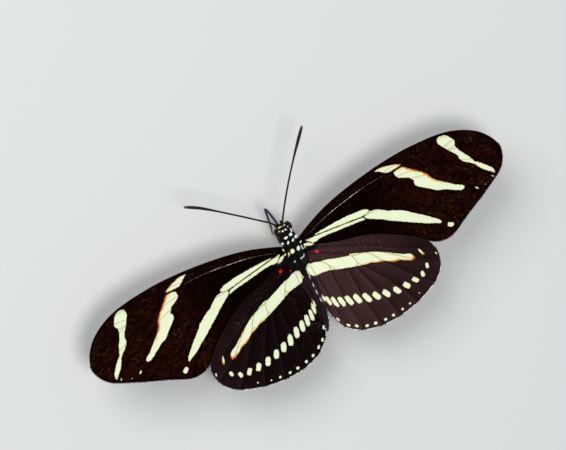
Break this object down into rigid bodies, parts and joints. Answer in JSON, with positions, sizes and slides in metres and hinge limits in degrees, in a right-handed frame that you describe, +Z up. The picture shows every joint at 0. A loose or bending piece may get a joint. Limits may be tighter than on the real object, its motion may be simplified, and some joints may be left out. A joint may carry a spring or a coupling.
{
  "type": "zebra longwing butterfly",
  "caption": "Still life-size butterfly with long narrow wings spread flat, standing on its feet with its feeding tube bent down.",
  "frame": {"origin": "middle of the model's footprint box, at floor level", "axes": "+Z up; the head faces -Y; the animal's left wing is on +X"},
  "size_m": [0.089, 0.0414, 0.0139],
  "materials": {
    "body_scales": "short black-brown scales and hair with small cream spots",
    "wing": "scaled membrane, black-brown with pale yellow bands, matt with a soft sheen",
    "eye": "glossy faceted brown",
    "feeler": "dark ringed horn with reddish orange tips",
    "mouthparts": "dark brown horn, satin",
    "leg": "dark brown horn with fine scales"
  },
  "bodies": {
    "root": {"thorax": "body_scales", "abdomen": "body_scales", "head": "body_scales", "eye_left": "eye", "eye_right": "eye", "antenna_left": "feeler", "antenna_right": "feeler", "palp_left": "mouthparts", "palp_right": "mouthparts", "proboscis": "mouthparts", "forewing_left": "wing", "forewing_right": "wing", "hindwing_left": "wing", "hindwing_right": "wing", "foreleg_left": "leg", "foreleg_right": "leg", "midleg_left": "leg", "midleg_right": "leg", "hindleg_left": "leg", "hindleg_right": "leg"}
  },
  "joints": []
}
